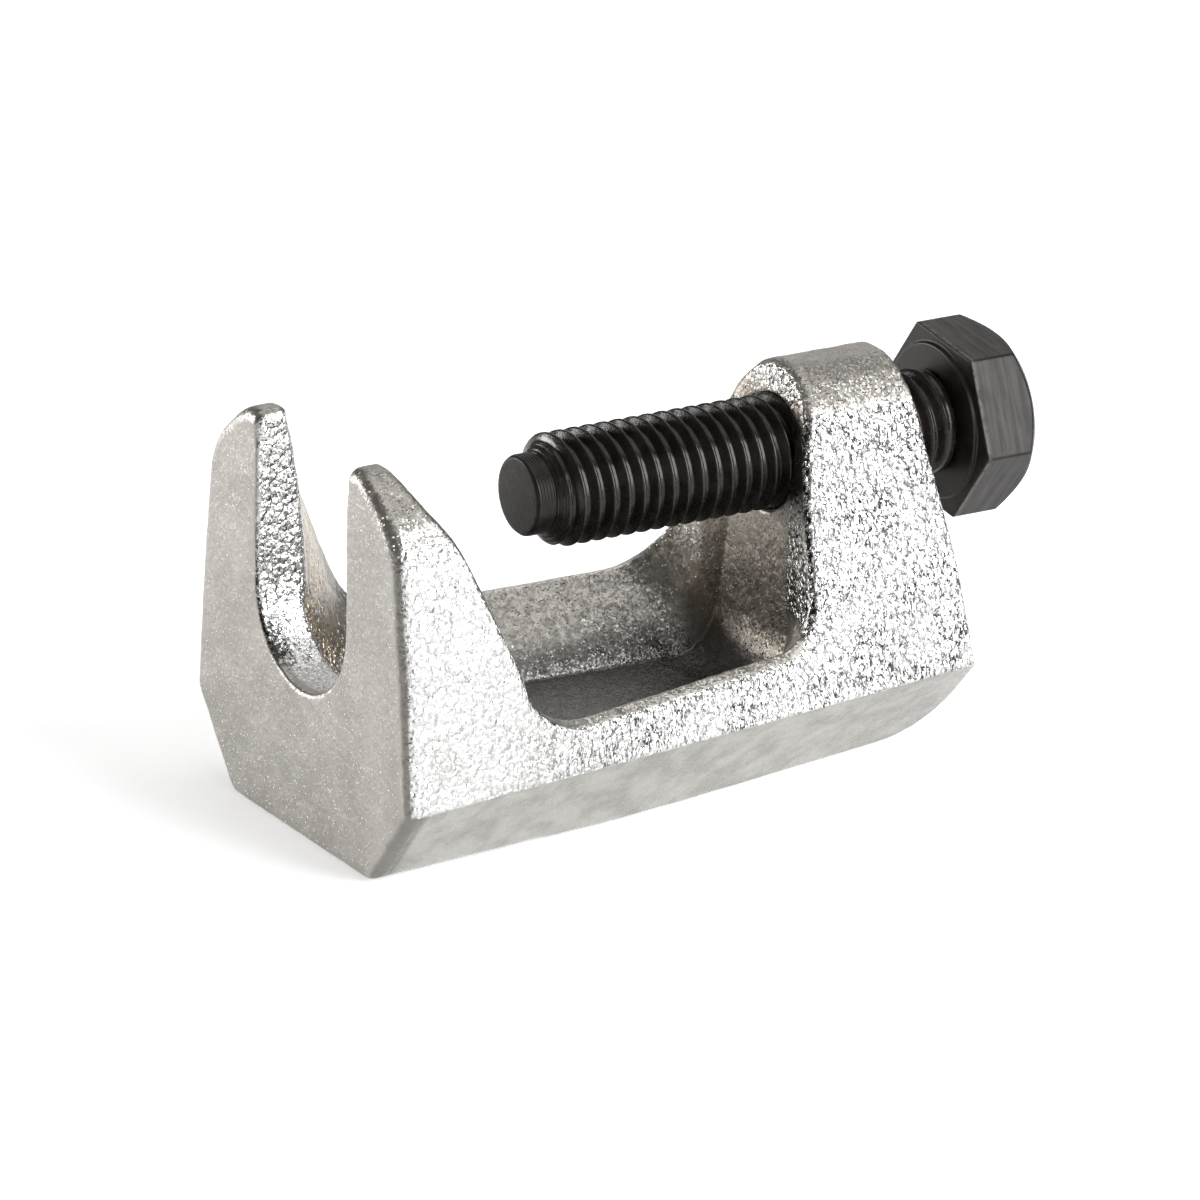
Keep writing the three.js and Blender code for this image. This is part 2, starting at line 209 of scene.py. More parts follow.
def cavity_field(x, y, z):
    """The hollow of the C, negative in the hollow; the factors keep its steep parts to true distances."""
    width = half_width(x, np.clip(z, RIM_Z, SHOULDER_Z))
    share = np.abs(y) / width
    s = ramp(FLOOR_SHARE, RIM_SHARE, share) ** TROUGH_CURVE
    front = mix(bend(z, *FORK_BACK_MIDDLE), bend(z, *FORK_BACK_OUTER), s) - x
    front = front * mix(1, 0.72, np.minimum(1, 2 * s))
    rear = x - mix(bend(z, *BOSS_FACE_MIDDLE), bend(z, *BOSS_FACE_OUTER), s)
    rim_z = RIM_Z + RIM_RISE * (x - RIM_FRONT_X) - RIM_TILT * ramp(RIM_SHARE, 1, share)
    floor = (mix(FLOOR_Z, rim_z, s) - z) * 0.88
    field = rounded_and(front, floor, mix(*FRONT_FILLETS, s))
    rim_fillet = np.where(y < 0, NEAR_RIM_FILLET, FAR_RIM_FILLET)
    return rounded_and(field, rear, mix(BOSS_FILLET, rim_fillet, s))


def slot_field(x, y, z):
    """The fork's opening: a half-round bottom and straight sides."""
    below = np.minimum(z - SLOT_CENTRE_Z, 0)
    return np.sqrt(y * y + below * below) - SLOT_R + 0 * x


def thread_radius(x, angle, crest_r, root_r, crest_flat):
    """Radius of a thread's surface at x and at an angle from +Y toward +Z."""
    turn = (x - CREST_AT_X) / PITCH - (angle - CREST_AT_ANGLE) / (2 * math.pi)
    away = np.abs(turn - np.round(turn)) * PITCH
    flank = (away - crest_flat / 2) * math.sqrt(3)
    return np.clip(crest_r - flank, root_r, crest_r)


def bore_field(x, y, z):
    """The tapped bore, with a chamfered mouth at the boss's inner face."""
    up = z - BOLT_Z
    radius = np.sqrt(y * y + up * up)
    wall = thread_radius(x, np.arctan2(up, y), CREST_R + BORE_GAP, ROOT_R + BORE_GAP, BORE_CREST_FLAT)
    mouth = CREST_R + 0.3 - np.maximum(0, x - BORE_MOUTH_X)
    return radius - np.maximum(wall, mouth)


def frame_field(x, y, z):
    """The whole forging; its inner edges are rounder at the fork and the boss than along the rims."""
    field = hull_field(x, y, z)
    edge = mix(0.7, 0.45, ramp(14, 20, x)) + 0.75 * ramp(47, 54, x)
    field = rounded_and(field, -cavity_field(x, y, z), edge)
    slot_edge = 0.55 + 0.5 * smooth_ramp(38, 41, z)
    slot = np.maximum(slot_field(x, y, z), x - SLOT_END_X)
    field = rounded_and(field, -slot, slot_edge)
    bore = np.maximum(bore_field(x, y, z), 48 - x)
    return rounded_and(field, -bore, 0.15)


def hex_head_field(x, y, z):
    """Hexagon head with its chamfered end and the washer face under it."""
    up = z - BOLT_Z
    radius = np.sqrt(y * y + up * up)
    hexagon = None
    for k in range(6):
        angle = HEX_ANGLE + math.pi / 6 + k * math.pi / 3
        face = y * math.cos(angle) + up * math.sin(angle) - HEX_FLATS / 2
        hexagon = face if hexagon is None else rounded_and(hexagon, face, 0.18)
    corner_r = HEX_FLATS / math.sqrt(3)
    end_cone = radius - HEX_CHAMFER_SHARE * corner_r + (x - HEAD_END_X) * HEX_CHAMFER_SLOPE
    end_cone = end_cone / math.hypot(1, HEX_CHAMFER_SLOPE)
    head = rounded_and(hexagon, HEX_X - x, 0.12)
    head = rounded_and(head, end_cone, 0.15)
    head = rounded_and(head, x - HEAD_END_X, 0.15)
    washer = rounded_and(radius - WASHER_R, WASHER_X - x, 0.15)
    washer = np.maximum(washer, x - HEX_X - 1)
    return np.minimum(head, washer)


# ---- meshes ----
def surface_of(field, low, high, step):
    """Points and four-sided faces on the zero surface of a field, by the surface-net method."""
    axes = [np.arange(a, b + step, step, dtype=np.float32) for a, b in zip(low, high)]
    values = field(axes[0][:, None, None], axes[1][None, :, None], axes[2][None, None, :])
    inside = values < 0
    cells = tuple(n - 1 for n in inside.shape)
    count = np.zeros(cells, np.int8)
    for corner in np.ndindex(2, 2, 2):
        count += inside[tuple(slice(c, c + n) for c, n in zip(corner, cells))]
    active = (count > 0) & (count < 8)
    number = np.full(cells, -1, np.int32)
    number[active] = np.arange(active.sum())
    index = np.argwhere(active)
    total = np.zeros(index.shape)
    hits = np.zeros(len(index))
    for axis in range(3):
        others = [k for k in range(3) if k != axis]
        for a, b in np.ndindex(2, 2):
            start = np.zeros(3, int)
            start[others[0]], start[others[1]] = a, b
            finish = start.copy()
            finish[axis] = 1
            f0 = values[tuple((index + start).T)]
            f1 = values[tuple((index + finish).T)]
            crosses = (f0 < 0) != (f1 < 0)
            share = f0[crosses] / (f0[crosses] - f1[crosses])
            total[crosses] += start
            total[crosses, axis] += share
            hits[crosses] += 1
    points = np.array(low) + step * (index + total / hits[:, None])
    faces = []
    for axis in range(3):
        u, v = np.eye(3, dtype=int)[[(axis + 1) % 3, (axis + 2) % 3]]
        ahead = np.roll(inside, -1, axis)
        change = inside != ahead
        trim = [slice(1, -1)] * 3
        trim[axis] = slice(0, -1)
        kept = np.zeros_like(change)
        kept[tuple(trim)] = change[tuple(trim)]
        at = np.argwhere(kept)
        quad = np.stack([number[tuple((at - s).T)] for s in (u + v, v, 0 * u, u)], 1)
        solid_below = inside[tuple(at.T)]
        quad[~solid_below] = quad[~solid_below][:, ::-1]
        faces.append(quad)
    return points, np.concatenate(faces)


def slope_of(field, points, h=0.02):
    """Gradient of a field at each point."""
    parts = []
    for axis in range(3):
        ahead, behind = points.copy(), points.copy()
        ahead[:, axis] += h
        behind[:, axis] -= h
        parts.append((field(*ahead.T) - field(*behind.T)) / (2 * h))
    return np.stack(parts, 1)


def settled(field, points, reach):
    """Moves the points onto the field's zero surface, by no more than `reach`; returns the normals too."""
    start = points.copy()
    for _ in range(3):
        slope = slope_of(field, points)
        size = np.maximum((slope * slope).sum(1), 0.05)
        points = points - (field(*points.T) / size)[:, None] * slope
        points = start + np.clip(points - start, -reach, reach)
    slope = slope_of(field, points)
    return points, slope / np.maximum(np.linalg.norm(slope, axis=1), 1e-6)[:, None]


def lumps(points, size, offset=0.0):
    """Smooth noise between -1 and 1 with lumps of about `size` millimetres."""
    shift = Vector((offset, 2 * offset, 3 * offset))
    return np.array([noise.noise(Vector(p / size) + shift) for p in points])


def add_piece(name, points, faces, material, body, replaced):
    mesh = bpy.data.meshes.new(name)
    metres = (points - [ORIGIN_X, 0, 0]) * MM
    mesh.from_pydata(metres.tolist(), [], [list(map(int, f)) for f in faces])
    mesh.update()
    mesh.polygons.foreach_set("use_smooth", [True] * len(mesh.polygons))
    mesh.materials.append(material)
    obj = bpy.data.objects.new(name, mesh)
    bpy.context.scene.collection.objects.link(obj)
    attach(obj, body)
    if replaced:
        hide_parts(replaced)
    return obj


def frame_forging(material):
    points, faces = surface_of(frame_field, (-1, -23, -1), (73, 23, 43.5), 0.25)
    points, normals = settled(frame_field, points, 0.2)
    from_bolt = np.hypot(points[:, 1], points[:, 2] - BOLT_Z)
    rough = smooth_ramp(*SMOOTH_ROUND_BOLT, from_bolt)
    rough[points[:, 0] < 50] = 1
    relief = sum(height * lumps(points, size, offset) for height, size, offset in SKIN)
    points = points + normals * (rough * (relief - SKIN_DEPTH))[:, None]
    points = np.clip(points, (0, -FRONT_HALF_WIDTH, 0), (HEAD_END_X, FRONT_HALF_WIDTH, FRAME_TOP_Z))
    return add_piece("c_frame_forging", points, faces, material, "frame", "c_frame")


def swept_rings(rings, centre_first, centre_last):
    """Points and faces of a closed tube through equal rings, with a fan on each end."""
    count = len(rings[0])
    points = np.concatenate([*rings, [centre_first], [centre_last]])
    faces = []
    for r in range(len(rings) - 1):
        for i in range(count):
            j = (i + 1) % count
            faces.append((r * count + i, r * count + j, (r + 1) * count + j, (r + 1) * count + i))
    first, last = len(points) - 2, len(points) - 1
    base = (len(rings) - 1) * count
    for i in range(count):
        j = (i + 1) % count
        faces.append((first, j, i))
        faces.append((last, base + i, base + j))
    return points, faces


def ring(x, radius, steps):
    """A ring of points round the screw's axis; x and radius are numbers or one value per step."""
    angle = np.linspace(0, 2 * math.pi, steps, endpoint=False)
    return np.stack([x + 0 * angle, radius * np.cos(angle), BOLT_Z + radius * np.sin(angle)], 1)


def shank_radius(x, angle):
    """Radius of the shank at x for each angle: lead-in cone, thread, worn thread and run-out."""
    wall = thread_radius(x, angle, CREST_R, ROOT_R, CREST_FLAT)
    lead_in = mix(DOG_R, CREST_R, (x - DOG_END_X) / (THREAD_FULL_X - DOG_END_X))
    wall = np.minimum(wall, max(lead_in, DOG_R))
    wall = mix(wall, NECK_R, float(smooth_ramp(THREAD_END_X - 0.2, THREAD_END_X + 0.8, x)))
    turn = (x - CREST_AT_X) / PITCH - (angle - CREST_AT_ANGLE) / (2 * math.pi)
    worn = WORN_R + WORN_WAVE * np.cos(2 * math.pi * turn)
    wall = mix(wall, worn, float(smooth_ramp(WORN_FROM_X, WORN_FROM_X + 1, x)))
    if x < THREAD_FULL_X:
        wall = wall - 0.05 * (1 + np.sin(2 * math.pi * x / 0.42 - angle))
    return wall


def threaded_shank(material):
    """The thread from its lead-in cone to its run-out, and the neck and collar under the head."""
    steps = 192
    ring_gap = 0.07
    angle = np.linspace(0, 2 * math.pi, steps, endpoint=False)
    rings = []
    for x in np.arange(DOG_END_X, THREAD_END_X + 0.9, ring_gap):
        rings.append(ring(x, shank_radius(x, angle), steps))
    for x in np.arange(THREAD_END_X + 0.95, WASHER_X + 0.1, ring_gap):
        bulge = 1 - ((x - COLLAR_X) / COLLAR_HALF) ** 2
        rings.append(ring(x, mix(NECK_R, COLLAR_R, math.sqrt(max(0.0, bulge))), steps))
    points, faces = swept_rings(rings, (DOG_END_X, 0, BOLT_Z), (WASHER_X + 0.05, 0, BOLT_Z))
    return add_piece("screw_thread", points, faces, material, "screw", "forcing_screw")


def hex_head(material):
    corner = HEX_FLATS / math.sqrt(3) + 0.5
    low = (WASHER_X - 0.6, -corner, BOLT_Z - corner)
    high = (HEAD_END_X + 0.6, corner, BOLT_Z + corner)
    points, faces = surface_of(hex_head_field, low, high, 0.16)
    points, _ = settled(hex_head_field, points, 0.15)
    return add_piece("screw_hex_head", points, faces, material, "screw", None)


def dog_point(material):
    """The turned tip, with tool marks round it."""
    steps = 160
    edge_r = 0.45
    rings = []
    angle = np.linspace(0, 2 * math.pi, steps, endpoint=False)
    for radius in np.linspace(0.4, DOG_R - 0.36, 14):
        rings.append(ring(TIP_X, radius, steps))
    for x in np.arange(TIP_X + 0.02, DOG_END_X - TIP_GAP, 0.05):
        edge = min(1.0, (x - TIP_X) / edge_r)
        marks = 0.04 * np.sin(2 * math.pi * x / 0.36 - angle)
        rings.append(ring(x, DOG_R - 0.3 * (1 - edge) ** 2 - 0.04 + marks * edge, steps))
    tip, end = (TIP_X, 0, BOLT_Z), (DOG_END_X - TIP_GAP, 0, BOLT_Z)
    points, faces = swept_rings(rings, tip, end)
    return add_piece(
        "screw_dog_tip", points, faces, material, "screw_tip", "screw_dog_point"
    )


# ---- materials ----
class Nodes:
    """A small helper that adds and links shader nodes."""

    def __init__(self, name):
        self.material = bpy.data.materials.new(name)
        self.material.use_nodes = True
        self.tree = self.material.node_tree
        self.shader = self.tree.nodes["Principled BSDF"]
        self.place = self.add("ShaderNodeTexCoord").outputs["Object"]

    def add(self, kind, **settings):
        node = self.tree.nodes.new(kind)
        for key, value in settings.items():
            setattr(node, key, value)
        return node

    def link(self, output, socket):
        self.tree.links.new(output, socket)

    def noise(self, size_mm, detail=3.0, roughness=0.5, stretch=(1, 1, 1)):
        """A noise pattern with features of about size_mm."""
        mapping = self.add("ShaderNodeMapping")
        mapping.inputs["Scale"].default_value = [s / (size_mm * MM) for s in stretch]
        self.link(self.place, mapping.inputs["Vector"])
        texture = self.add("ShaderNodeTexNoise")
        texture.inputs["Scale"].default_value = 1.0
        texture.inputs["Detail"].default_value = detail
        texture.inputs["Roughness"].default_value = roughness
        self.link(mapping.outputs["Vector"], texture.inputs["Vector"])
        return texture.outputs["Fac"]

    def ramp(self, value, low, high, to_low=0.0, to_high=1.0):
        """A soft step, held level outside its ends; it falls where high is below low."""
        node = self.add("ShaderNodeMapRange")
        node.interpolation_type = "SMOOTHSTEP"
        node.inputs["From Min"].default_value = low
        node.inputs["From Max"].default_value = high
        node.inputs["To Min"].default_value = to_low
        node.inputs["To Max"].default_value = to_high
        self.link(value, node.inputs["Value"])
        return node.outputs["Result"]

    def colours(self, share, first, second):
        """The first colour where the share is 0 and the second where it is 1."""
        node = self.add("ShaderNodeMix", data_type="RGBA")
        self.link(share, node.inputs["Factor"])
        for socket, colour in ((node.inputs[6], first), (node.inputs[7], second)):
            if isinstance(colour, tuple):
                socket.default_value = (*colour, 1)
            else:
                self.link(colour, socket)
        return node.outputs[2]

    def maths(self, operation, a, b):
        node = self.add("ShaderNodeMath", operation=operation)
        for socket, value in zip(node.inputs, (a, b)):
            if isinstance(value, (int, float)):
                socket.default_value = value
            else:
                self.link(value, socket)
        return node.outputs[0]

    def place_mm(self):
        """Position in millimetres: X from the fork's front face, Y and Z as in the frame."""
        scaled = self.add("ShaderNodeVectorMath", operation="MULTIPLY_ADD")
        scaled.inputs[1].default_value = (1 / MM, 1 / MM, 1 / MM)
        scaled.inputs[2].default_value = (ORIGIN_X, 0, 0)
        self.link(self.place, scaled.inputs[0])
        node = self.add("ShaderNodeSeparateXYZ")
        self.link(scaled.outputs[0], node.inputs[0])
        return [node.outputs[name] for name in "XYZ"]

    def most(self, *shares):
        """The largest of several shares."""
        largest = shares[0]
        for share in shares[1:]:
            largest = self.maths("MAXIMUM", largest, share)
        return largest

    def both(self, *shares):
        """The product of several shares."""
        product = shares[0]
        for share in shares[1:]:
            product = self.maths("MULTIPLY", product, share)
        return product

    def facing(self, name):
        """How far the surface faces along an axis: -1 to 1."""
        node = self.add("ShaderNodeSeparateXYZ")
        self.link(self.add("ShaderNodeNewGeometry").outputs["Normal"], node.inputs[0])
        return node.outputs[name]

    def outside(self, value):
        """One less the share: where it is not."""
        return self.maths("SUBTRACT", 1.0, value)

    def line(self, value, low, high, to_low, to_high):
        """A straight ramp, held level outside its ends."""
        node = self.add("ShaderNodeMapRange")
        node.inputs["From Min"].default_value = low
        node.inputs["From Max"].default_value = high
        node.inputs["To Min"].default_value = to_low
        node.inputs["To Max"].default_value = to_high
        self.link(value, node.inputs["Value"])
        return node.outputs["Result"]

    def grains(self, spacing_mm, size):
        """Small round grains here and there, 1 at the middle of each; size is a share of the spacing."""
        cells = self.add("ShaderNodeTexVoronoi")
        cells.inputs["Scale"].default_value = 1 / (spacing_mm * MM)
        self.link(self.place, cells.inputs["Vector"])
        return self.ramp(cells.outputs["Distance"], size, 0)

    def cracks(self, size_mm, stretch, width):
        """Short winding lines, 1 in a line and 0 between them."""
        centred = self.maths("SUBTRACT", self.noise(size_mm, 2.0, 0.5, stretch), 0.5)
        line = self.ramp(self.maths("ABSOLUTE", centred, 0), width, 0.45 * width)
        return self.maths("MULTIPLY", line, self.ramp(self.noise(1.3 * size_mm, 2.0), 0.42, 0.5))

    def peel(self, size_mm, wander):
        """Orange peel: irregular domes with narrow valleys between them, as a height from 0 to 1."""
        bent = self.add("ShaderNodeTexNoise")
        bent.inputs["Scale"].default_value = 1 / (1.3 * size_mm * MM)
        bent.inputs["Detail"].default_value = 2.0
        self.link(self.place, bent.inputs["Vector"])
        scaled = self.add("ShaderNodeVectorMath", operation="SCALE")
        scaled.inputs["Scale"].default_value = wander * 2 * size_mm * MM
        self.link(bent.outputs["Color"], scaled.inputs[0])
        moved = self.add("ShaderNodeVectorMath", operation="ADD")
        self.link(self.place, moved.inputs[0])
        self.link(scaled.outputs[0], moved.inputs[1])
        cells = self.add("ShaderNodeTexVoronoi")
        cells.inputs["Scale"].default_value = 1 / (size_mm * MM)
        self.link(moved.outputs[0], cells.inputs["Vector"])
        squared = self.maths("POWER", cells.outputs["Distance"], 2.0)
        return self.maths("SUBTRACT", 1.0, squared)

    def flakes(self, size_mm, tilt, share):
        """The surface's normal, tilted at random from one small crystal to the next."""
        cells = self.add("ShaderNodeTexVoronoi")
        cells.inputs["Scale"].default_value = 1 / (size_mm * MM)
        self.link(self.place, cells.inputs["Vector"])
        centred = self.add("ShaderNodeVectorMath", operation="SUBTRACT")
        centred.inputs[1].default_value = (0.5, 0.5, 0.5)
        self.link(cells.outputs["Color"], centred.inputs[0])
        scaled = self.add("ShaderNodeVectorMath", operation="SCALE")
        self.link(self.maths("MULTIPLY", share, tilt), scaled.inputs["Scale"])
        self.link(centred.outputs[0], scaled.inputs[0])
        tilted = self.add("ShaderNodeVectorMath", operation="ADD")
        self.link(self.add("ShaderNodeNewGeometry").outputs["Normal"], tilted.inputs[0])
        self.link(scaled.outputs[0], tilted.inputs[1])
        unit = self.add("ShaderNodeVectorMath", operation="NORMALIZE")
        self.link(tilted.outputs[0], unit.inputs[0])
        return unit.outputs[0]

    def bump(self, height, depth_mm, after=None):
        node = self.add("ShaderNodeBump")
        node.inputs["Strength"].default_value = 1.0
        node.inputs["Distance"].default_value = depth_mm * MM
        self.link(height, node.inputs["Height"])
        if after is not None:
            self.link(after, node.inputs["Normal"])
        return node.outputs["Normal"]


def forging_places(n):
    """Where each kind of surface lies on the forging, as shares from 0 to 1; positions in millimetres."""
    x, y, z = n.place_mm()
    p = SimpleNamespace(x=x, z=z)
    away = n.maths("ABSOLUTE", y, 0)
    edge_half = n.maths("SUBTRACT", EDGE_HALF, n.maths("MULTIPLY", x, SIDE_TAPER))
    upper_half = n.line(x, FORK_END_X, BOSS_START_X, FORK_SECTION[0][0], BOSS_SECTION[0][0])
    height = n.line(z, 9.5, FORK_SECTION[0][1], 0, 1)
    half = n.maths("ADD", n.both(edge_half, n.outside(height)), n.both(upper_half, height))
    share = n.maths("DIVIDE", away, half)
    p.sideways = n.maths("ABSOLUTE", n.facing("Y"), 0)
    p.up = n.facing("Z")

    dip = n.maths("MINIMUM", n.maths("SUBTRACT", z, SLOT_CENTRE_Z), 0.0)
    p.from_slot = n.maths("SQRT", n.maths("ADD", n.both(y, y), n.both(dip, dip)), 0)
    p.slot = n.both(n.ramp(p.from_slot, SLOT_R + 1, SLOT_R + 0.5), n.ramp(x, 8.8, 7.8))
    past_rim = n.most(n.ramp(share, 0.93, 0.97), n.ramp(z, 20.5, 22.5))
    p.top = n.both(n.ramp(p.up, 0.42, 0.62), n.ramp(z, 34, 35.5))
    p.outer_side = n.both(
        n.ramp(p.sideways, 0.72, 0.88), past_rim, n.outside(p.slot), n.outside(p.top),
        n.ramp(p.up, -0.35, -0.1),
    )
    p.corner = n.both(
        n.ramp(p.sideways, 0.15, 0.5), n.ramp(x, 2.8, 1.8), n.ramp(z, 37, 34),
        n.outside(p.slot), n.outside(p.outer_side),
    )
    p.glint = n.both(
        n.ramp(p.sideways, 0.08, 0.25), n.ramp(x, 50.8, 51.8), n.ramp(x, 57.1, 56.1),
        n.ramp(y, -5, -7), n.outside(p.outer_side), n.outside(p.top), n.ramp(z, 16.5, 18.5),
    )
    slot_wall = n.both(p.slot, n.ramp(p.sideways, 0.6, 0.85))
    p.front = n.both(n.ramp(x, 1.8, 1.0), n.outside(p.outer_side), n.outside(slot_wall))
    p.under = n.both(n.ramp(p.up, -0.15, -0.4), n.outside(p.front))
    p.inside = n.both(
        n.ramp(share, 0.97, 0.93), n.ramp(x, 1, 2), n.ramp(x, 56.3, 55.3), n.ramp(z, 7.5, 8.5),
        n.outside(n.most(p.slot, p.outer_side)), n.outside(p.top), n.outside(p.glint),
        n.outside(p.under),
    )
    p.rim = n.both(
        n.ramp(z, 13.7, 14.2), n.ramp(z, 17.6, 17.1), n.ramp(x, 15.8, 16.8), n.ramp(x, 51.8, 50.8),
        n.ramp(p.up, 0.6, 0.8), n.ramp(share, 0.9, 0.925),
    )
    p.trough = n.both(p.inside, n.ramp(z, 13.0, 9.5), n.ramp(y, 11.5, 9.5))
    p.boss_face = n.both(n.ramp(x, 49.3, 52.3), n.ramp(away, 10.5, 8.5), n.ramp(z, 9, 11), p.inside)
    p.behind_lip = n.both(n.ramp(x, 15.3, 10.3), n.ramp(away, 18.5, 16.5), n.ramp(z, 12, 14), p.inside)
    cracked = n.both(n.ramp(x, 7.3, 29.3, 0.2, 1.0), n.ramp(n.noise(5.0, 2.0), 0.3, 0.6, 0.35, 1.0))
    p.crack = n.both(n.cracks(0.42, (1.0, 1.0, 0.28), 0.05), p.outer_side, cracked)
    p.dots = n.grains(0.6, 0.24)
    return p


def forging_colour(n, p):
    """Plain zinc on the sides, painted shade on the front, top and underside, a mottled hollow, painted
    shade in the trough, on the boss's inner face, in creases and on edges, painted dark reflections in
    glints, and painted highlights as light dots on the front.
    """
    patches = n.ramp(n.noise(6.0, 4.0, 0.6), 0.35, 0.65)
    specks = n.noise(0.45, 3.0, 0.7)
    plain = n.colours(patches, (0.62, 0.615, 0.60), (0.55, 0.545, 0.53))
    # painted shade: the front face and the top get a darker copy of the zinc colour
    front_top_shade = n.colours(patches, (0.40, 0.38, 0.35), (0.34, 0.32, 0.295))
    colour = n.colours(n.most(p.front, p.top), plain, front_top_shade)
    # painted shade: the underside is darker, mottled in clouds
    clouds = n.ramp(n.noise(3.5, 4.0, 0.6), 0.35, 0.65)
    colour = n.colours(p.under, colour, n.colours(clouds, (0.41, 0.40, 0.375), (0.31, 0.30, 0.28)))
    mottles = n.ramp(n.noise(0.9, 4.0, 0.7), 0.35, 0.65)
    colour = n.colours(p.inside, colour, n.colours(mottles, (0.50, 0.475, 0.435), (0.30, 0.285, 0.265)))
    # painted highlights: light dots on the front face's grains
    colour = n.colours(n.both(p.dots, p.front), colour, (0.80, 0.79, 0.77))
    gold_share = n.ramp(n.noise(3.0, 3.0, 0.6), 0.35, 0.65, 0.25, 0.75)
    colour = n.colours(n.both(p.behind_lip, gold_share), colour, (0.72, 0.60, 0.45))
    # painted shade: the boss's inner face in the hollow is darkened to dark brown
    colour = n.colours(n.maths("MULTIPLY", p.boss_face, 0.85), colour, (0.145, 0.125, 0.102))
    # painted shade: the floor of the trough is darkened
    colour = n.colours(n.maths("MULTIPLY", p.trough, 0.85), colour, (0.13, 0.122, 0.118))
    # painted shade: the rounded edges between the front face and the sides are darkened
    colour = n.colours(n.maths("MULTIPLY", p.corner, 0.7), colour, (0.13, 0.125, 0.115))
    # painted reflections: dark specks in the glint band along the boss's near inner edge
    colour = n.colours(n.both(p.glint, n.ramp(specks, 0.42, 0.55)), colour, (0.03, 0.03, 0.028))
    # painted shade: the creases in the near side's skin are darkened; the same mask also cuts grooves in the
    # relief
    colour = n.colours(n.maths("MULTIPLY", p.crack, 0.97), colour, (0.02, 0.02, 0.021))
    colour = n.colours(p.rim, colour, (0.60, 0.58, 0.53))
    # painted reflections: dark specks along the slot's front lip, stronger lower down
    lip_dark_glints = n.both(
        n.ramp(p.sideways, 0.3, 0.55), n.ramp(p.x, 2.8, 1.8), n.ramp(p.from_slot, SLOT_R + 1.5, SLOT_R + 1),
        n.ramp(specks, 0.4, 0.52), n.ramp(p.sideways, 0.95, 0.85), n.ramp(p.z, 34, 26, 0.4, 1.0),
    )
    return n.colours(lip_dark_glints, colour, (0.04, 0.04, 0.038))


def forging_normal(n, p, dullness):
    """Orange peel, grains and creases over small crystals that each tilt the light a little."""
    depth = n.both(
        n.line(dullness, 0, 1, 1, 0.1), n.line(p.slot, 0, 1, 1, 0.6), n.line(p.outer_side, 0, 1, 1, 0.75),
        n.line(n.both(p.slot, p.up), 0.2, 0.7, 1, 0.3),
    )
    relief = n.maths("MULTIPLY", n.peel(0.7, 0.6), depth)
    grains = n.both(p.dots, n.most(p.front, p.top, p.inside))
    relief = n.maths("ADD", relief, n.maths("MULTIPLY", grains, 0.32))
    relief = n.maths("SUBTRACT", relief, n.maths("MULTIPLY", p.crack, 0.4))
    sparkle = n.both(
        n.line(p.front, 0, 1, 1, 0.6), n.line(p.boss_face, 0, 1, 1, 0.45), n.line(p.behind_lip, 0, 1, 1, 1.7)
    )
    plainer = n.both(n.line(n.most(p.under, p.rim), 0, 1, 1, 0.5), n.line(dullness, 0, 1, 1, 0.3))
    grain = n.both(n.noise(0.3, 3.0, 0.6), plainer, n.line(p.outer_side, 0, 1, 1, 0.6))
    normal = n.bump(relief, 0.3, n.flakes(0.2, 0.36, sparkle))
    return n.bump(grain, 0.07, normal)


def zinc_forging():
    n = Nodes("zinc_forging")
    n.shader.inputs["Metallic"].default_value = 1.0
    p = forging_places(n)
    n.link(forging_colour(n, p), n.shader.inputs["Base Color"])
    shine = n.ramp(n.noise(1.4, 3.0), 0.3, 0.7, 0.18, 0.28)
    dullness = n.most(p.front, p.top, p.under, p.inside, p.rim)
    dullness = n.both(dullness, n.outside(n.maths("MULTIPLY", p.behind_lip, 0.6)))
    added = n.maths("ADD", n.maths("MULTIPLY", dullness, 0.16), n.maths("MULTIPLY", p.outer_side, 0.11))
    n.link(n.maths("ADD", shine, added), n.shader.inputs["Roughness"])
    n.link(forging_normal(n, p, dullness), n.shader.inputs["Normal"])
    return n.material


def black_oxide(name, base, roughness, specular, marks_mm, marks_stretch, marks_depth):
    """Black finish with rubbed patches, tool marks and a worn edge on the flats beside the washer face."""
    n = Nodes(name)
    n.shader.inputs["Metallic"].default_value = 0.0
    n.shader.inputs["Specular IOR Level"].default_value = specular
    n.shader.inputs["Specular Tint"].default_value = (1.0, 0.95, 0.91, 1)
    x = n.place_mm()[0]
    worn_edge = n.both(
        n.ramp(x, HEX_X + 0.75, HEX_X + 0.35), n.ramp(x, HEX_X - 0.05, HEX_X + 0.05),
        n.ramp(n.facing("X"), -0.6, -0.3), n.ramp(n.noise(0.8, 3.0), 0.35, 0.5),
    )
    rubbed = tuple(c * 2.2 for c in base)
    colour = n.colours(n.ramp(n.noise(2.2, 4.0, 0.6), 0.4, 0.7), base, rubbed)
    n.link(n.colours(worn_edge, colour, (0.05, 0.047, 0.043)), n.shader.inputs["Base Color"])
    marks = n.noise(marks_mm, 4.0, 0.6, stretch=marks_stretch)
    n.link(n.ramp(marks, 0.3, 0.7, roughness - 0.08, roughness + 0.1), n.shader.inputs["Roughness"])
    n.link(n.bump(marks, marks_depth), n.shader.inputs["Normal"])
    return n.material


def floor_material():
    n = Nodes("pale_floor")
    cloud = n.noise(60.0, 2.0)
    n.link(n.colours(cloud, (0.93, 0.93, 0.93), (0.9, 0.9, 0.9)), n.shader.inputs["Base Color"])
    n.shader.inputs["Roughness"].default_value = 0.9
    n.shader.inputs["Emission Color"].default_value = (1, 1, 1, 1)
    n.shader.inputs["Emission Strength"].default_value = 0.44
    return n.material


# ---- camera, light and floor ----
CAMERA_FROM_FRONT = (-411.74, -734.73, 334.73)  # in millimetres, from the middle of the fork's foot
CAMERA_AZIMUTH = 0.5465
CAMERA_ELEVATION = 0.3514
CAMERA_ROLL = -0.0176
FOCAL_IN_WIDTHS = 7.46558
SENSOR_MM = 36.0


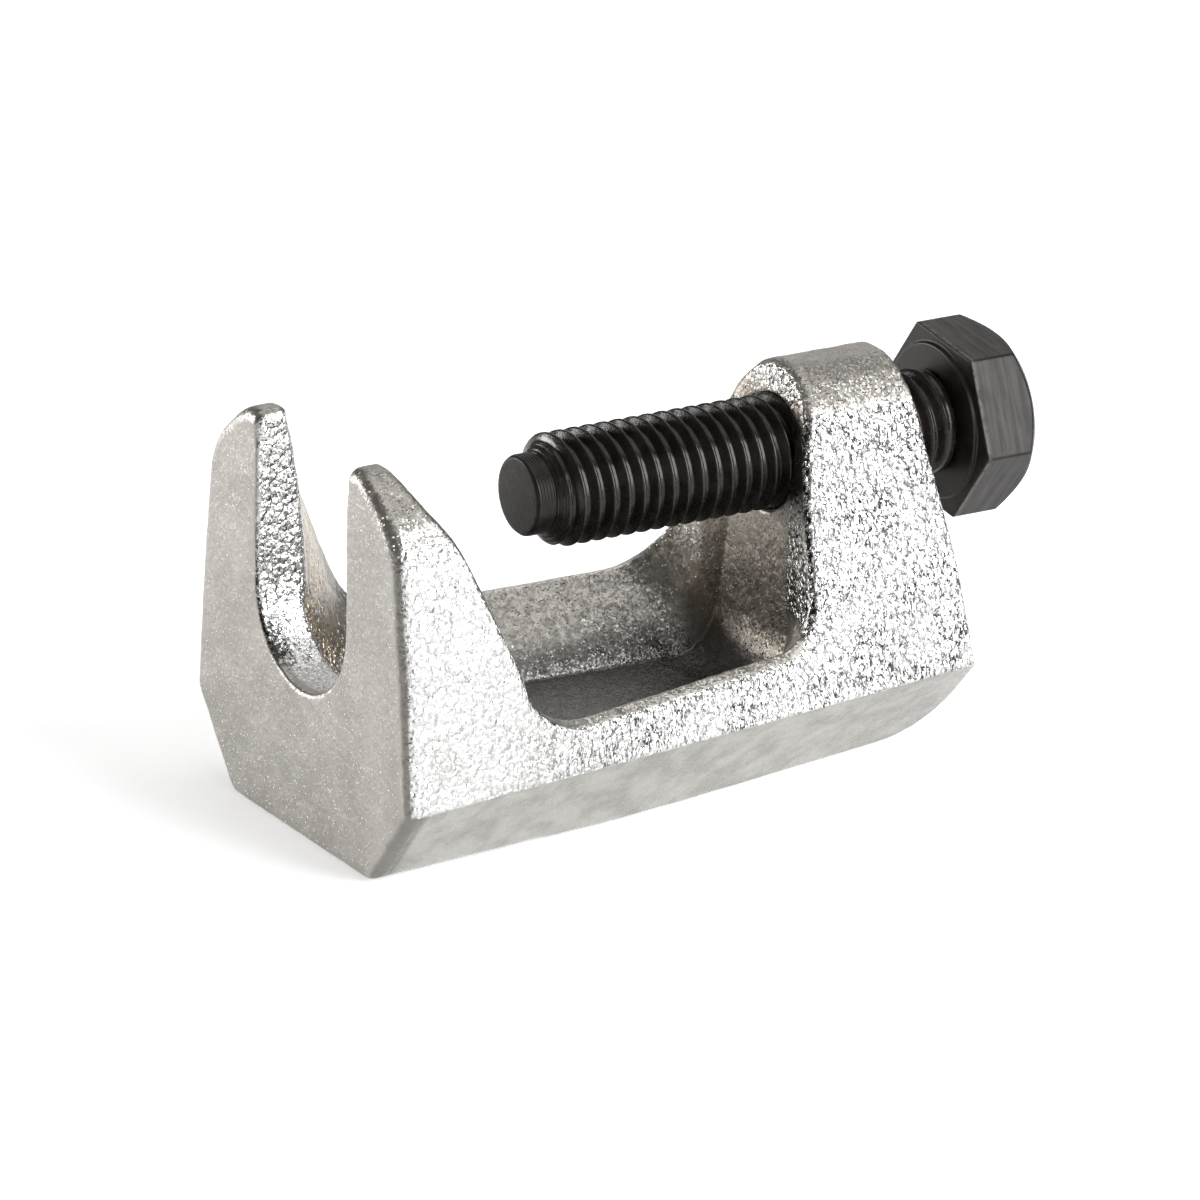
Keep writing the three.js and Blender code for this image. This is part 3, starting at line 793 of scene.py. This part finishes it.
def add_camera():
    data = bpy.data.cameras.new("camera")
    data.sensor_width = SENSOR_MM
    data.lens = FOCAL_IN_WIDTHS * SENSOR_MM
    data.clip_start = 0.01
    data.clip_end = 50
    cam = bpy.data.objects.new("camera", data)
    bpy.context.scene.collection.objects.link(cam)
    az, el, roll = CAMERA_AZIMUTH, CAMERA_ELEVATION, CAMERA_ROLL
    back = Vector((-math.sin(az) * math.cos(el), -math.cos(az) * math.cos(el), math.sin(el)))
    right = (-back).cross(Vector((0, 0, 1))).normalized()
    down = (-back).cross(right)
    right, down = (
        math.cos(roll) * right + math.sin(roll) * down,
        -math.sin(roll) * right + math.cos(roll) * down,
    )
    turn = Matrix((right, -down, back)).transposed().to_4x4()
    place = (Vector(CAMERA_FROM_FRONT) - Vector((ORIGIN_X, 0, 0))) * MM
    cam.matrix_world = Matrix.Translation(place) @ turn
    bpy.context.scene.camera = cam


def softbox(name, direction, distance, width, height, power, colour=(1, 1, 1)):
    """A rectangular light that faces the object from a direction."""
    data = bpy.data.lights.new(name, "AREA")
    data.shape = "RECTANGLE"
    data.size, data.size_y = width, height
    data.energy = power
    data.color = colour
    light = bpy.data.objects.new(name, data)
    bpy.context.scene.collection.objects.link(light)
    way = Vector(direction).normalized()
    light.location = Vector((0, 0, 0.02)) + way * distance
    light.rotation_mode = "QUATERNION"
    light.rotation_quaternion = way.to_track_quat("Z", "Y")


def add_studio():
    softbox("key", (0.44, -0.83, 0.42), 0.6, 0.42, 0.48, 5.8, (0.96, 0.98, 1.0))
    softbox("back_left", (-0.62, 0.78, 0.14), 0.7, 0.3, 0.16, 2.6)
    softbox("back_right", (0.49, 0.80, 0.42), 0.9, 0.6, 0.4, 0.8)
    softbox("top", (0.15, 0.05, 1.0), 0.9, 0.8, 0.8, 2.8)
    world = bpy.data.worlds.new("studio")
    world.use_nodes = True
    world.node_tree.nodes["Background"].inputs["Color"].default_value = (0.16, 0.157, 0.154, 1)
    world.node_tree.nodes["Background"].inputs["Strength"].default_value = 1.0
    bpy.context.scene.world = world
    mesh = bpy.data.meshes.new("floor")
    reach = 2.0
    corners = [(-reach, -reach, 0), (reach, -reach, 0), (reach, reach, 0), (-reach, reach, 0)]
    mesh.from_pydata(corners, [], [(0, 1, 2, 3)])
    mesh.materials.append(floor_material())
    floor = bpy.data.objects.new("floor", mesh)
    bpy.context.scene.collection.objects.link(floor)
    bpy.context.scene.view_settings.view_transform = "Standard"


frame_forging(zinc_forging())
threaded_shank(black_oxide("black_thread", (0.010, 0.0082, 0.0074), 0.2, 0.3, 0.3, (1, 1, 1), 0.015))
hex_head(black_oxide("black_head", (0.008, 0.0067, 0.0061), 0.38, 0.26, 0.5, (1, 0.07, 0.07), 0.009))
dog_point(black_oxide("black_dog", (0.009, 0.0075, 0.0068), 0.34, 0.24, 0.3, (1, 1, 1), 0.02))
add_camera()
add_studio()
